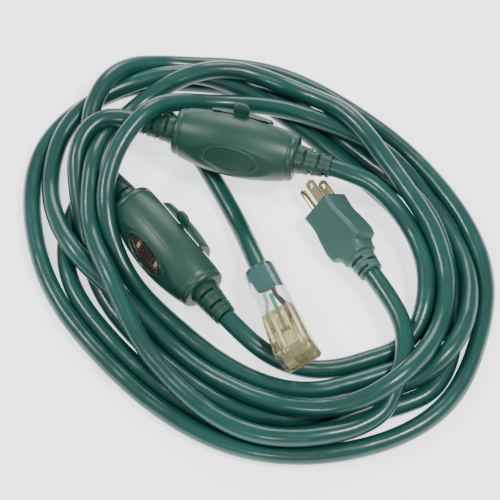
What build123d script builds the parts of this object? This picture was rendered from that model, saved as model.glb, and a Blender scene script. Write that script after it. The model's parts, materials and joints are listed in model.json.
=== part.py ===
from build123d import *
import os
from math import cos, pi, radians, sin, tan

# Outdoor extension cord with two in-line outlet housings, a grounded plug and a
# clear end connector, lying as a loose oval coil. Millimetres, +Z up, floor at z = 0.

os.makedirs("parts", exist_ok=True)

# ---------------------------------------------------------------- cable
CABLE_D = 12.0            # outside diameter of the round jacket
CORE_D = 3.8              # one insulated conductor
CORE_PITCH_R = 4.6        # conductors' distance from the cable's axis inside a housing
FIT = 0.15                # clearance between moulded pieces

# ---------------------------------------------------------------- coil
COIL_CENTRE = (24.5, -16.7)
COIL_TURN = -45.0         # direction of the oval's long axis in plan, degrees
COIL_OUTER = (167.0, 139.0)   # half axes of the outer oval
COIL_INNER = (123.0, 93.0)    # half axes of the hole
COIL_H = 24.0             # two layers of cable, loosely laid
PILE_H = 39.0             # where turns climb over the strain reliefs
PILE_AT = (-81.5, 69.3)
PILE_R = 46.0

# ---------------------------------------------------------------- outlet housing
BODY_L = 81.0
BODY_MID_D = 42.0
BODY_END_D = 29.0
BODY_EDGE = 1.6           # rounding of the two end rims
WALL = 2.6
OUTLET_FLAT = 15.6        # outlet face, from the axis
PANEL_FLAT = 18.0         # display panel face, from the axis
PANEL_TURN = 140.0        # panel's normal, turned from the outlet's normal about the axis
PANEL_OVAL = (34.0, 17.0)  # window or badge
PANEL_STEP = 1.4          # depth of the oval's seat
RIM = 1.3                 # width of the seat's ledge

FACE = (31.0, 24.0)       # receptacle face, along and across the axis
FACE_R = 3.0
FACE_DEPTH = 11.4
FLANGE = 1.6
BLADE_GAP = 12.7          # between the two blades
GROUND_OFFSET = 11.9      # from the blades' line to the ground pin
BLADE_W = 6.35
BLADE_T = 1.5
BLADE_L = 17.5
BLADE_BEVEL = 1.4
GROUND_D = 4.8
GROUND_ROOT_D = 4.0       # the part held in the moulding
GROUND_L = 20.6
SLOT_EXTRA = 0.8          # how much wider a slot is than its blade
NEUTRAL_EXTRA = 1.6       # the neutral slot is longer still
LEAF = 0.5                # spring leaf of a contact
CONTACT_DEPTH = 9.0

COVER = (40.0, 27.0)      # flip cover, along and across
COVER_PROUD = 0.9         # how far it stands above the barrel
COVER_SKIN = 1.6
COVER_GAP = 0.35
TAB_L = 8.5
TAB_W = 11.0
TAB_T = 2.2
TAB_LEAN = 38.0
HINGE_R = 1.9
PIN_D = 1.6
HINGE_RUN = 0.08          # running clearance round the pin
KNUCKLE_L = 8.0
HINGE_LIFT = 2.3          # hinge axis above the outlet face

BOOT_L = 23.0
BOOT_R = (9.6, 7.3)       # at the housing and at the tip
BOOT_RIBS = 4
RIB_GAP = 1.9
RIB_DEEP = 1.3
BOOT_FLANGE = (11.4, 2.2)  # radius and thickness of the part held inside the body
BOOT_NECK_L = 3.2

SCREW_HEAD = (4.8, 1.5)
SCREW_D = 2.4
SCREW_RUN = 0.05          # clearance round the shank, the head bears on its seat
SCREW_L = 13.0
SCREW_X = 27.0
POST_D = 7.0

# ---------------------------------------------------------------- plug
PLUG_L = 44.0
PLUG_FACE = (21.0, 25.0)  # across the blades, and from blades to ground
PLUG_ROUND = 5.0
PLUG_REAR = (18.0, 20.0)
PIN_SHIFT = 1.45          # the pins sit this much nearer the ground side's opposite
WING = (3.4, 12.0, 21.0)  # grip wing: how far it stands out, width, length
WING_FROM_REAR = 6.0
PLUG_BOOT_L = 13.0
PLUG_BOOT_R = (9.2, 8.0)
PLUG_BRIDGE = (16.0, 19.0, 5.0)
PLUG_BRIDGE_IN = 4.0
BLADE_ROOT = 7.0
PLUG_ROLL = 139.0

# ---------------------------------------------------------------- connector
CONN_L = 72.0
CONN_MOUTH = (25.0, 25.0)
CONN_REAR = (19.6, 19.6)
CONN_ROUND = (5.0, 8.0)   # corner radii at the mouth and at the cable end
CARRIER = (19.0, 19.0, 30.0)
CARRIER_IN = 3.0
JACKET_IN = 20.0          # how far the cable's jacket runs into the clear body
COLLAR = (8.3, 3.0)
CONN_CORE_D = 2.7         # one conductor, squeezed in behind its contact
WIRE_BORE = (7.6, 9.6)    # radius behind the carrier, from the jacket's end forward
CONN_ROLL = 20.0

# ---------------------------------------------------------------- where each piece lies
UPPER_AT = (12.5, 49.8, 31.6)
UPPER_DIR = -15.7         # heading of the axis in plan, degrees
LOWER_AT = (-31.5, -20.2, 21.0)
LOWER_DIR = -53.2
OUTLET_TILT = 18.0        # the outlet's normal above the horizontal
PLUG_AT = (69.6, 12.1, 16.6)    # middle of the plug's face
PLUG_DIR = -59.5
CONN_AT = (28.4, -36.7, 17.2)    # middle of the connector's cable end
CONN_DIR = -71.0
CONN_RISE = 11.0


def save(shape, name, color):
    """Writes one node."""
    shape.label = name
    shape.color = Color(*color)
    export_step(shape, os.path.join("parts", name + ".step"))


GREEN = (0.13, 0.36, 0.31)
GREEN_2 = (0.18, 0.42, 0.37)
BRASS = (0.83, 0.68, 0.36)
STEEL = (0.7, 0.7, 0.72)
BLACK = (0.05, 0.05, 0.05)
WHITE = (0.9, 0.9, 0.88)
CLEAR = (0.8, 0.82, 0.85)
SMOKE = (0.2, 0.18, 0.16)
AMBER = (0.95, 0.7, 0.3)
WIRE_COLORS = {"line": BLACK, "neutral": WHITE, "ground": (0.1, 0.5, 0.3)}


def lying(at, heading, rise=0.0):
    """Frame whose X runs along a heading in plan, rising, and whose Z stays upward."""
    return Location(at) * Location((0, 0, 0), (0, 0, heading)) * Location((0, 0, 0), (0, -rise, 0))


def along_x(shape):
    """Turns a shape built along +Z so that it runs along +X."""
    return Rot(0, 90, 0) * shape


def rod(radius, x0, x1, y=0.0, z=0.0):
    """Round bar along X."""
    return Pos((x0 + x1) / 2, y, z) * along_x(Cylinder(radius, abs(x1 - x0)))


def block(x0, x1, y0, y1, z0, z1):
    """Box from its limits."""
    return Pos((x0 + x1) / 2, (y0 + y1) / 2, (z0 + z1) / 2) * Box(x1 - x0, y1 - y0, z1 - z0)


def pad(length, width, radius, z0, z1):
    """Rounded rectangle, standing along Z."""
    return Pos(0, 0, z0) * extrude(RectangleRounded(length, width, radius), z1 - z0)


def lathe(points):
    """Solid turned about X from (x, radius) points; both ends close on the axis."""
    loop = [(points[0][0], 0)] + list(points) + [(points[-1][0], 0)]
    return revolve(make_face(Polyline(*loop, close=True)), Axis.X)


def barrel(inset=0.0, end_inset=0.0):
    """The housing's swelling body, an arc turned about its axis."""
    half = BODY_L / 2 - end_inset
    full = BODY_L / 2
    end_r = BODY_END_D / 2 - inset
    mid_r = BODY_MID_D / 2 - inset
    side_r = mid_r - (mid_r - end_r) * (half / full) ** 2
    arc = ThreePointArc((-half, side_r), (0, mid_r), (half, side_r))
    edges = [arc, Line((half, side_r), (half, 0)), Line((half, 0), (-half, 0)),
             Line((-half, 0), (-half, side_r))]
    return revolve(make_face(edges), Axis.X)


def beyond(offset, turn):
    """Everything farther than offset from the axis, in a direction turned about it."""
    size = 4 * BODY_MID_D
    return Rot(turn, 0, 0) * Pos(0, 0, offset + size / 2) * Box(3 * BODY_L, size, size)


def contact(x, y, width, thick, z_top, core_at):
    """Spring clip for one blade, with a strap down to its conductor's crimp."""
    cy, cz = core_at
    z_low = z_top - CONTACT_DEPTH
    clip = block(x - width / 2, x + width / 2, y - thick / 2 - LEAF, y + thick / 2 + LEAF,
                 z_low, z_top)
    clip -= block(x - width, x + width, y - thick / 2, y + thick / 2, z_low + LEAF, z_top + 1)
    ring_r = CORE_D / 2 + FIT
    strap = block(x - 1.6, x + 1.6, min(y, cy) - 1.0, max(y, cy) + 1.0, z_low - 1.2, z_low)
    strap += block(x - 1.6, x + 1.6, cy - 1.0, cy + 1.0, cz + ring_r, z_low)
    ring = rod(ring_r + 0.7, x - 2.2, x + 2.2, cy, cz) - rod(ring_r, x - 3, x + 3, cy, cz)
    body = (clip + strap) - rod(ring_r, x - 3, x + 3, cy, cz)
    return body + ring


def core_seats():
    """The three conductors' places around the axis inside a housing or connector."""
    seats = {}
    for name, turn in (("line", 0), ("neutral", 180), ("ground", 270)):
        seats[name] = (CORE_PITCH_R * cos(radians(turn)), CORE_PITCH_R * sin(radians(turn)))
    return seats


def socket_plan():
    """Blade slots' and ground hole's places on a receptacle face: name, x, y."""
    back = -GROUND_OFFSET / 2
    return {
        "line": (back, BLADE_GAP / 2),
        "neutral": (back, -BLADE_GAP / 2),
        "ground": (back + GROUND_OFFSET, 0.0),
    }


def socket_cuts(z0, z1):
    """The slots and the hole of one receptacle, cut along Z."""
    plan = socket_plan()
    thick = BLADE_T + SLOT_EXTRA
    width = BLADE_W + SLOT_EXTRA
    x, y = plan["line"]
    cuts = block(x - width / 2, x + width / 2, y - thick / 2, y + thick / 2, z0, z1)
    x, y = plan["neutral"]
    width += NEUTRAL_EXTRA
    cuts += block(x - width / 2, x + width / 2, y - thick / 2, y + thick / 2, z0, z1)
    x, y = plan["ground"]
    cuts += Pos(x, y, (z0 + z1) / 2) * Cylinder(GROUND_D / 2 + SLOT_EXTRA / 2, z1 - z0)
    return cuts


def boot(length, radii, ribs, inside_flange):
    """Ribbed strain relief along +X from the body's end face, with window slots."""
    r0, r1 = radii
    points = []
    if inside_flange:
        flange_r, flange_t = BOOT_FLANGE
        neck_r = r0 - 1.6
        points += [(-BOOT_NECK_L - flange_t, flange_r), (-BOOT_NECK_L, flange_r),
                   (-BOOT_NECK_L, neck_r), (0, neck_r)]
    collar = length * 0.2
    points += [(0, r0), (collar, r0)]
    pitch = (length - collar) / ribs
    for i in range(ribs):
        x0 = collar + i * pitch
        share = (x0 + RIB_GAP) / length
        here = r0 + (r1 - r0) * share
        points += [(x0, here - RIB_DEEP), (x0 + RIB_GAP, here - RIB_DEEP), (x0 + RIB_GAP, here),
                   (x0 + pitch, here)]
    body = lathe(points)
    for i in range(ribs - 1):
        x0 = collar + (i + 1) * pitch
        for turn in ((45, 225) if i % 2 else (-45, 135)):
            slot = Rot(turn, 0, 0) * block(x0 - 0.5, x0 + RIB_GAP + 0.5, -4.2, 4.2, r1 - 3.2, r0 + 2)
            body -= slot
    return body


def outlet_housing(prefix, place, panel):
    """One in-line outlet: two shells, receptacle, contacts, cover, boots and panel piece."""
    seats = core_seats()
    plan = socket_plan()
    solid = barrel()
    rims = solid.edges().filter_by(GeomType.CIRCLE).group_by(Axis.X)
    solid = fillet(list(rims[0]) + list(rims[-1]), BODY_EDGE)
    solid -= beyond(OUTLET_FLAT, 0)
    solid -= beyond(PANEL_FLAT, PANEL_TURN)
    hollow = barrel(WALL, BOOT_NECK_L)
    hollow -= beyond(OUTLET_FLAT - WALL, 0)
    hollow -= beyond(PANEL_FLAT - WALL - PANEL_STEP, PANEL_TURN)
    neck = rod(BOOT_R[0] - 1.6 + FIT, -BODY_L, BODY_L)
    shell = solid - hollow - neck

    # window or badge seat in the panel
    to_panel = Rot(PANEL_TURN, 0, 0)
    length, width = PANEL_OVAL
    seat = Pos(0, 0, PANEL_FLAT - PANEL_STEP) * extrude(Ellipse(length / 2, width / 2), 10)
    shell -= to_panel * seat
    if panel == "window":
        through = Pos(0, 0, PANEL_FLAT - 10) * extrude(
            Ellipse(length / 2 - RIM, width / 2 - RIM), 10)
        shell -= to_panel * through

    # screw posts joining the shells, one near each end of the receptacle
    hole_r = SCREW_D / 2
    z_seat = OUTLET_FLAT - SCREW_HEAD[1] - 0.3
    for side in (-1, 1):
        x = side * SCREW_X
        post = Pos(x, 0, 0) * Cylinder(POST_D / 2, BODY_MID_D)
        post &= hollow
        post -= rod(CORE_D / 2 + FIT, -BODY_L, BODY_L, *seats["line"])
        post -= rod(CORE_D / 2 + FIT, -BODY_L, BODY_L, *seats["neutral"])
        post -= rod(CORE_D / 2 + FIT, -BODY_L, BODY_L, *seats["ground"])
        shell += post
        shell -= Pos(x, 0, OUTLET_FLAT) * Cylinder(SCREW_HEAD[0] / 2 + FIT,
                                                 2 * (OUTLET_FLAT - z_seat))
        shell -= Pos(x, 0, z_seat - SCREW_L / 2) * Cylinder(hole_r, SCREW_L)

    # receptacle opening
    face_l, face_w = FACE
    shell -= pad(face_l, face_w, FACE_R, OUTLET_FLAT - WALL - 1, OUTLET_FLAT + 1)

    half = 4 * BODY_MID_D
    upper_half = block(-BODY_L, BODY_L, -half, half, 0, half)
    outlet_shell = shell & upper_half
    panel_shell = shell - upper_half

    # hinge lugs on the outlet shell, knuckle on the cover
    hinge_y = COVER[1] / 2 + 0.4
    hinge_z = OUTLET_FLAT + HINGE_LIFT
    lugs = None
    for side in (-1, 1):
        x0 = side * (KNUCKLE_L + 0.4)
        x1 = side * (KNUCKLE_L + 4.4)
        lo, hi = min(x0, x1), max(x0, x1)
        lug = rod(HINGE_R, lo, hi, hinge_y, hinge_z)
        lug += block(lo, hi, hinge_y - 0.2, hinge_y + HINGE_R, OUTLET_FLAT - 4.5, hinge_z)
        lug -= rod(PIN_D / 2, lo - 1, hi + 1, hinge_y, hinge_z)
        lugs = lug if lugs is None else lugs + lug
    outlet_shell += lugs
    cover_l, cover_w = COVER
    z0 = OUTLET_FLAT + COVER_GAP
    cover = barrel(-COVER_PROUD) & pad(cover_l, cover_w, 4.0, z0, BODY_MID_D)
    inner = barrel(-COVER_PROUD + COVER_SKIN) & pad(
        cover_l - 2 * COVER_SKIN, cover_w - 2 * COVER_SKIN, 3.0, z0 - 1, BODY_MID_D)
    cover -= inner
    arm = rod(HINGE_R, -KNUCKLE_L, KNUCKLE_L, hinge_y, hinge_z)
    arm += block(-KNUCKLE_L, KNUCKLE_L, hinge_y - HINGE_R - 1.4, hinge_y, hinge_z - 0.6,
                 hinge_z + HINGE_R)
    relief = block(-KNUCKLE_L - 4.8, -KNUCKLE_L, hinge_y - HINGE_R - 0.4, hinge_y + 4,
                   z0 - 1, hinge_z + HINGE_R + 0.4)
    relief += block(KNUCKLE_L, KNUCKLE_L + 4.8, hinge_y - HINGE_R - 0.4, hinge_y + 4,
                    z0 - 1, hinge_z + HINGE_R + 0.4)
    cover = (cover - relief) + arm
    cover -= rod(PIN_D / 2 + HINGE_RUN, -KNUCKLE_L - 1, KNUCKLE_L + 1, hinge_y, hinge_z)
    tab_root = -cover_w / 2 + 1.0
    tab = Pos(0, tab_root - TAB_L / 2 + TAB_W / 4, z0 + 1.4) * Box(TAB_W, TAB_L - TAB_W / 2 + 1, TAB_T)
    tab += Pos(0, tab_root - TAB_L + TAB_W / 2, z0 + 1.4) * Cylinder(TAB_W / 2, TAB_T)
    tab_lean = Pos(0, tab_root, z0 + 1.4) * Rot(-TAB_LEAN, 0, 0) * Pos(0, -tab_root, -z0 - 1.4)
    cover += (tab_lean * tab) - pad(cover_l, cover_w - 2, 4.0, z0 - 9, z0 + 8)
    pin = rod(PIN_D / 2, -KNUCKLE_L - 4.2, KNUCKLE_L + 4.2, hinge_y, hinge_z)

    # receptacle insert with its flange behind the opening
    z_back = OUTLET_FLAT - FACE_DEPTH
    insert = pad(face_l - 2 * FIT, face_w - 2 * FIT, FACE_R - FIT, z_back, OUTLET_FLAT - 0.2)
    z_flange = OUTLET_FLAT - WALL - FIT
    insert += pad(face_l + 4, face_w + 1.2, FACE_R, z_flange - FLANGE, z_flange)
    insert &= barrel(WALL + FIT, 0)
    insert -= socket_cuts(OUTLET_FLAT - 4, OUTLET_FLAT + 1)
    z_clip = OUTLET_FLAT - 2.6
    cavity = None
    for name, (x, y) in plan.items():
        wide = (BLADE_W + NEUTRAL_EXTRA) / 2 + 1.0
        thick = BLADE_T / 2 + LEAF + 0.5
        if name == "ground":
            wide = GROUND_D / 2 + 0.8
            thick = (GROUND_D + SLOT_EXTRA) / 2 + LEAF + 0.4
        well = block(x - wide, x + wide, y - thick, y + thick, z_back - 1, z_clip + FIT)
        cavity = well if cavity is None else cavity + well
    insert -= cavity

    named = {
        "outlet_shell": (outlet_shell, GREEN),
        "panel_shell": (panel_shell, GREEN),
        "receptacle": (insert, BLACK),
        "flip_cover": (cover, GREEN),
        "hinge_pin": (pin, STEEL),
    }
    for name, (x, y) in plan.items():
        if name == "ground":
            clip = contact(x, y, GROUND_D, GROUND_D + SLOT_EXTRA + 0.2, z_clip, seats[name])
        else:
            clip = contact(x, y, BLADE_W, BLADE_T - 0.3, z_clip, seats[name])
        named[name + "_contact"] = (clip, BRASS)
    reach = BODY_L / 2 - BOOT_NECK_L - BOOT_FLANGE[1]
    for name, (y, z) in seats.items():
        core = rod(CORE_D / 2, -reach, reach, y, z)
        named[name + "_wire"] = (core, WIRE_COLORS[name])
    screws = []
    for side in (-1, 1):
        x = side * SCREW_X
        head = Pos(x, 0, z_seat + SCREW_HEAD[1] / 2) * Cylinder(SCREW_HEAD[0] / 2, SCREW_HEAD[1])
        head -= Pos(x, 0, z_seat + SCREW_HEAD[1]) * Box(3.2, 0.7, 1.0)
        head -= Pos(x, 0, z_seat + SCREW_HEAD[1]) * Box(0.7, 3.2, 1.0)
        shank = Pos(x, 0, z_seat - SCREW_L / 2 + 0.5) * Cylinder(hole_r - SCREW_RUN, SCREW_L - 1.0)
        screws.append(head + shank)
    named["shell_screws"] = (screws[0] + screws[1], STEEL)
    right = Pos(BODY_L / 2, 0, 0) * boot(BOOT_L, BOOT_R, BOOT_RIBS, True)
    left = Rot(0, 0, 180) * Pos(BODY_L / 2, 0, 0) * boot(BOOT_L, BOOT_R, BOOT_RIBS, True)
    named["right_boot"] = (right, GREEN_2)
    named["left_boot"] = (left, GREEN_2)

    # the oval piece in the panel
    oval = extrude(Ellipse(length / 2 - FIT, width / 2 - FIT), PANEL_STEP + 0.3)
    oval = fillet(oval.edges().group_by(Axis.Z)[-1], 0.5)
    oval = Pos(0, 0, PANEL_FLAT - PANEL_STEP) * oval
    if panel == "window":
        named["window"] = (to_panel * oval, SMOKE)
        depth = PANEL_FLAT - PANEL_STEP
        board = Pos(0, 0, depth - 3.4) * Box(27.0, 10.0, 1.2)
        lamps = []
        for side in (-1, 1):
            lamps.append(Pos(side * 9.0, 0, depth - 2.8 + 1.0) * Box(2.0, 5.0, 2.0))
        named["indicator_board"] = (to_panel * board, (0.3, 0.3, 0.25))
        named["indicator_lamps"] = (to_panel * (lamps[0] + lamps[1]), AMBER)
    else:
        named["blank_badge"] = (to_panel * oval, GREEN_2)

    for name, (shape, color) in named.items():
        save(place * shape, prefix + "_" + name, color)
    return {
        "hinge": place * Pos(0, hinge_y, hinge_z),
        "left": place * Pos(-BODY_L / 2 - BOOT_L, 0, 0),
        "right": place * Pos(BODY_L / 2 + BOOT_L, 0, 0),
        "ground": place * Pos(*plan["ground"], OUTLET_FLAT - 0.2),
    }


def taper(front, rear, length, front_r, rear_r):
    """Rounded bar along +X whose section changes from front to rear."""
    near = Plane.YZ * RectangleRounded(front[0], front[1], front_r)
    far = Plane.YZ.offset(length) * RectangleRounded(rear[0], rear[1], rear_r)
    return loft([near, far])


def plug(place):
    """Grounded plug: body with grip wings, boot, blades, pin and the bridge that holds them."""
    shoulder = PLUG_L - WING_FROM_REAR - WING[2] / 2
    front = taper(PLUG_FACE, PLUG_FACE, shoulder, PLUG_ROUND, PLUG_ROUND)
    rear = Pos(shoulder, 0, 0) * taper(PLUG_FACE, PLUG_REAR, PLUG_L - shoulder, PLUG_ROUND, 8.0)
    body = front + rear
    stand, wing_w, wing_l = WING
    x0 = PLUG_L - WING_FROM_REAR - wing_l
    for side in (-1, 1):
        wing = Pos(x0 + wing_l / 2, 0, 0) * Box(wing_l, wing_w, PLUG_FACE[1] + 2 * stand)
        wing &= block(x0, x0 + wing_l, -wing_w, wing_w, min(0, side * 40), max(0, side * 40))
        body += wing
    bridge_y, bridge_z, bridge_t = PLUG_BRIDGE
    room = Pos(PLUG_BRIDGE_IN + bridge_t / 2, 0, 0) * Box(
        bridge_t + 2 * FIT, bridge_y + 2 * FIT, bridge_z + 2 * FIT)
    z_blades = PIN_SHIFT - GROUND_OFFSET / 2
    z_ground = z_blades + GROUND_OFFSET
    blades = {"line": (z_blades, BLADE_GAP / 2), "neutral": (z_blades, -BLADE_GAP / 2)}
    pins = {}
    bridge = Pos(PLUG_BRIDGE_IN + bridge_t / 2, 0, 0) * Box(bridge_t, bridge_y, bridge_z)
    for name, (z, y) in blades.items():
        low, high = z - BLADE_W / 2, z + BLADE_W / 2
        outline = Polyline((BLADE_ROOT, low), (BLADE_ROOT, high), (BLADE_BEVEL - BLADE_L, high),
                           (-BLADE_L, high - BLADE_BEVEL), (-BLADE_L, low + BLADE_BEVEL),
                           (BLADE_BEVEL - BLADE_L, low), close=True)
        sheet = Plane.XZ.offset(-y) * make_face(outline)
        blade = extrude(sheet, BLADE_T / 2, both=True)
        blade -= Pos(-BLADE_L + 4.0, y, z) * Rot(90, 0, 0) * Cylinder(1.6, 4)
        pins[name + "_blade"] = blade
        bridge -= block(0, BLADE_ROOT + 5, y - BLADE_T / 2 - 0.05, y + BLADE_T / 2 + 0.05,
                        z - BLADE_W / 2 - 0.05, z + BLADE_W / 2 + 0.05)
        body -= block(-1, BLADE_ROOT + 0.5, y - BLADE_T / 2 - 0.05, y + BLADE_T / 2 + 0.05,
                      z - BLADE_W / 2 - 0.05, z + BLADE_W / 2 + 0.05)
    nose = GROUND_D / 2
    root_r = GROUND_ROOT_D / 2
    pin = rod(nose, nose - GROUND_L, 0, 0, z_ground)
    pin += rod(root_r, 0, BLADE_ROOT, 0, z_ground)
    pin += Pos(nose - GROUND_L, 0, z_ground) * Sphere(nose)
    bridge -= rod(root_r + 0.05, 0, BLADE_ROOT + 5, 0, z_ground)
    body -= room
    body -= rod(root_r + 0.05, -1, BLADE_ROOT + 0.5, 0, z_ground)
    pins["ground_pin"] = pin
    tunnel = rod(CABLE_D / 2, PLUG_BRIDGE_IN + bridge_t + FIT + 1, PLUG_L + 1)
    body -= tunnel
    stub = rod(CABLE_D / 2 - FIT, PLUG_L - 16, PLUG_L - 0.05)
    relief = Pos(PLUG_L, 0, 0) * boot(PLUG_BOOT_L, PLUG_BOOT_R, 3, False)
    named = {"plug_body": (body, GREEN), "plug_boot": (relief, GREEN_2),
             "plug_bridge": (bridge, BLACK), "plug_cable_stub": (stub, GREEN)}
    for name, shape in pins.items():
        named["plug_" + name] = (shape, BRASS)
    core_end = PLUG_BRIDGE_IN + bridge_t + FIT + 1.2
    for name, turn in (("line", 30), ("neutral", 150), ("ground", 270)):
        y, z = 3.1 * cos(radians(turn)), 3.1 * sin(radians(turn))
        core = rod(1.9, core_end, PLUG_L - 16.1, y, z)
        named["plug_" + name + "_wire"] = (core, WIRE_COLORS[name])
    for name, (shape, color) in named.items():
        save(place * shape, name, color)
    return {"exit": place * Pos(PLUG_L + PLUG_BOOT_L, 0, 0), "pin": place * Pos(0, 0, z_ground),
            "face": place}


def connector(place):
    """Clear end connector: body, carrier, contacts, conductors, jacket end and lamp."""
    solid = taper(CONN_REAR, CONN_MOUTH, CONN_L, CONN_ROUND[1], CONN_ROUND[0])
    mouth = solid.edges().group_by(Axis.X)[-1]
    solid = fillet(mouth, 1.0)
    c_y, c_z, c_l = CARRIER
    x_front = CONN_L - CARRIER_IN
    x_back = x_front - c_l
    room = block(x_back - FIT, x_front + FIT, -c_y / 2 - FIT, c_y / 2 + FIT,
                 -c_z / 2 - FIT, c_z / 2 + FIT)
    jacket_bore = rod(CABLE_D / 2 + FIT, -1, JACKET_IN)
    bore_l = x_back - JACKET_IN + 0.1
    wire_bore = Pos(JACKET_IN - 0.1 + bore_l / 2, 0, 0) * along_x(Cone(*WIRE_BORE, bore_l))
    collar_r, collar_t = COLLAR
    collar_room = rod(collar_r + FIT, JACKET_IN - collar_t - FIT, JACKET_IN + FIT)
    body = solid - room - jacket_bore - wire_bore - collar_room
    to_mouth = Pos(CONN_L, 0, 0) * Rot(0, 90, 0)
    body -= to_mouth * socket_cuts(-CARRIER_IN - 1, 1)
    carrier = block(x_back, x_front, -c_y / 2, c_y / 2, -c_z / 2, c_z / 2)
    plan = socket_plan()
    wells = [to_mouth * socket_cuts(-CARRIER_IN - 4, 1)]
    named = {"connector_body": (body, CLEAR)}
    for name, (px, py) in plan.items():
        # on the mouth, the receptacle's own X runs down
        y, z = py, -px
        if name == "ground":
            gap = (GROUND_D + SLOT_EXTRA) / 2 + 0.1
            half_y = gap + LEAF
            half_z = GROUND_D / 2 + 0.3
        else:
            half_y = BLADE_T / 2 + LEAF + 0.1
            half_z = BLADE_W / 2
            gap = BLADE_T / 2 - 0.1
        x1 = x_front - 3.0
        x0 = x1 - 15.0
        wells.append(block(x_back - 1, x1 + FIT, y - half_y - FIT, y + half_y + FIT,
                           z - half_z - FIT, z + half_z + FIT))
        clip = block(x0, x1, y - half_y, y + half_y, z - half_z, z + half_z)
        clip -= block(x0 + 1.0, x1 + 1, y - gap, y + gap, z - half_z - 1, z + half_z + 1)
        named["connector_" + name + "_contact"] = (clip, BRASS)
        turn = {"line": 35, "neutral": 145, "ground": 270}[name]
        wy, wz = 4.0 * cos(radians(turn)), 4.0 * sin(radians(turn))
        end_z = z if name == "ground" else z - BLADE_T
        path = FilletPolyline((JACKET_IN + 0.4, wy, wz), (JACKET_IN + 6, wy, wz),
                              (x_back, y, end_z), (x0 - 0.1, y, end_z), radius=6.0)
        core = sweep(Plane(origin=path @ 0, z_dir=path % 0) * Circle(CONN_CORE_D / 2), path)
        named["connector_" + name + "_wire"] = (core, WIRE_COLORS[name])
    for well in wells:
        carrier -= well
    lamp = block(x_back - 9, x_back - 2, 3.2, 5.2, -4.6, -2.6)
    named["connector_carrier"] = (carrier, (0.85, 0.82, 0.6))
    named["connector_lamp"] = (lamp, AMBER)
    named["connector_jacket_end"] = (rod(CABLE_D / 2, 0, JACKET_IN - collar_t - 0.3), GREEN)
    ring = rod(collar_r, JACKET_IN - collar_t, JACKET_IN) - rod(CABLE_D / 2 - 0.6,
                                                                 JACKET_IN - 9, JACKET_IN + 9)
    named["connector_collar"] = (ring, CLEAR)
    for name, (shape, color) in named.items():
        save(place * shape, name, color)
    return {"exit": place, "ground": place * Pos(CONN_L, 0, -plan["ground"][0])}


def cable(name, points, wall):
    """Jacket along straight runs joined by arcs as large as the runs allow, up to the coil."""
    route = [Vector(*p) for p in points]
    radii = []
    for a, b, c in zip(route, route[1:], route[2:]):
        turn = (b - a).get_angle(c - b)
        radii.append(0.45 * min((b - a).length, (c - b).length) / tan(radians(turn / 2)))
    line = FilletPolyline(*route, radius=radii) if radii else Line(*route)
    tube = sweep(Plane(origin=line @ 0, z_dir=line % 0) * Circle(CABLE_D / 2), line)
    section = pi * CABLE_D ** 2 / 4
    print(name, "length", round(line.length, 1), "radii", [round(r) for r in radii],
          "volume share", round(tube.volume / (section * line.length), 4))
    loose = (tube - wall).solids().sort_by(SortBy.VOLUME)[-1]
    save(loose, name, GREEN)


def tip(frame):
    """A frame's origin as a tuple."""
    return tuple(frame.position)


def step(frame, distance):
    """The point a distance along a frame's own X."""
    return tuple((frame * Pos(distance, 0, 0)).position)


def coil():
    """The outer shape of all the turns: an oval ring, higher where turns pile up."""
    centre = Pos(*COIL_CENTRE, 0) * Rot(0, 0, COIL_TURN)
    ring = Ellipse(*COIL_OUTER) - Ellipse(*COIL_INNER)
    low = extrude(centre * ring, COIL_H)
    high = extrude(centre * ring, PILE_H) & (Pos(*PILE_AT, PILE_H / 2) * Cylinder(PILE_R, PILE_H))
    both = low + high
    save(both, "cord_coil", GREEN)
    return both


upper_tilt = Rot(-(90 - OUTLET_TILT), 0, 0)
upper = outlet_housing("upper", lying(UPPER_AT, UPPER_DIR) * upper_tilt, "badge")
lower = outlet_housing("lower", lying(LOWER_AT, LOWER_DIR) * upper_tilt, "window")
plug_ends = plug(lying(PLUG_AT, PLUG_DIR) * Rot(PLUG_ROLL, 0, 0))
conn_ends = connector(lying(CONN_AT, CONN_DIR, CONN_RISE) * Rot(CONN_ROLL, 0, 0))
ring = coil()

# ---------------------------------------------------------------- loose stretches
cable("supply_lead", [tip(plug_ends["exit"]), step(plug_ends["exit"], 15), (114, -63, 17.5),
                      (118, -78, 18), (118.5, -93, 18), (116, -108, 18)], ring)
cable("supply_tail", [tip(upper["left"]), step(upper["left"], -30)], ring)
cable("link_head", [tip(upper["right"]), step(upper["right"], 17), (105.5, 19.5, 25),
                    (118, 7, 18), (126.5, -8.5, 12.5), (132.5, -24.5, 11)], ring)
cable("link_tail", [tip(lower["right"]), step(lower["right"], 12), (24, -88.5, 17),
                    (35.5, -95, 11), (49.5, -99.5, 6.8), (65.5, -102, 6.2), (82.5, -102.5, 6.2),
                    (100.5, -100, 6.2), (118.5, -94.5, 6.2)], ring)
cable("end_tail", [tip(lower["left"]), step(lower["left"], -30)], ring)
cable("end_lead", [(-52.5, 95.5, 6.2), (-31.5, 82.5, 6.2), (-15.5, 63.5, 6.2), (-3.5, 41.5, 6.2),
                   (6.5, 21.5, 6.2), (16.5, -0.5, 7), step(conn_ends["exit"], -16),
                   tip(conn_ends["exit"])], ring)
for label, frame in (("upper hinge", upper["hinge"]), ("lower hinge", lower["hinge"]),
                     ("upper ground", upper["ground"]), ("lower ground", lower["ground"]),
                     ("plug pin", plug_ends["pin"]), ("plug face", plug_ends["face"]),
                     ("connector ground", conn_ends["ground"])):
    x_axis = (frame * Pos(1, 0, 0)).position - frame.position
    z_axis = (frame * Pos(0, 0, 1)).position - frame.position
    print(label, [round(v, 3) for v in frame.position], [round(v, 4) for v in x_axis],
          [round(v, 4) for v in z_axis])
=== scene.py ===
import json
from math import radians

import bpy
import numpy as np
from mathutils import Matrix, Vector


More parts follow.
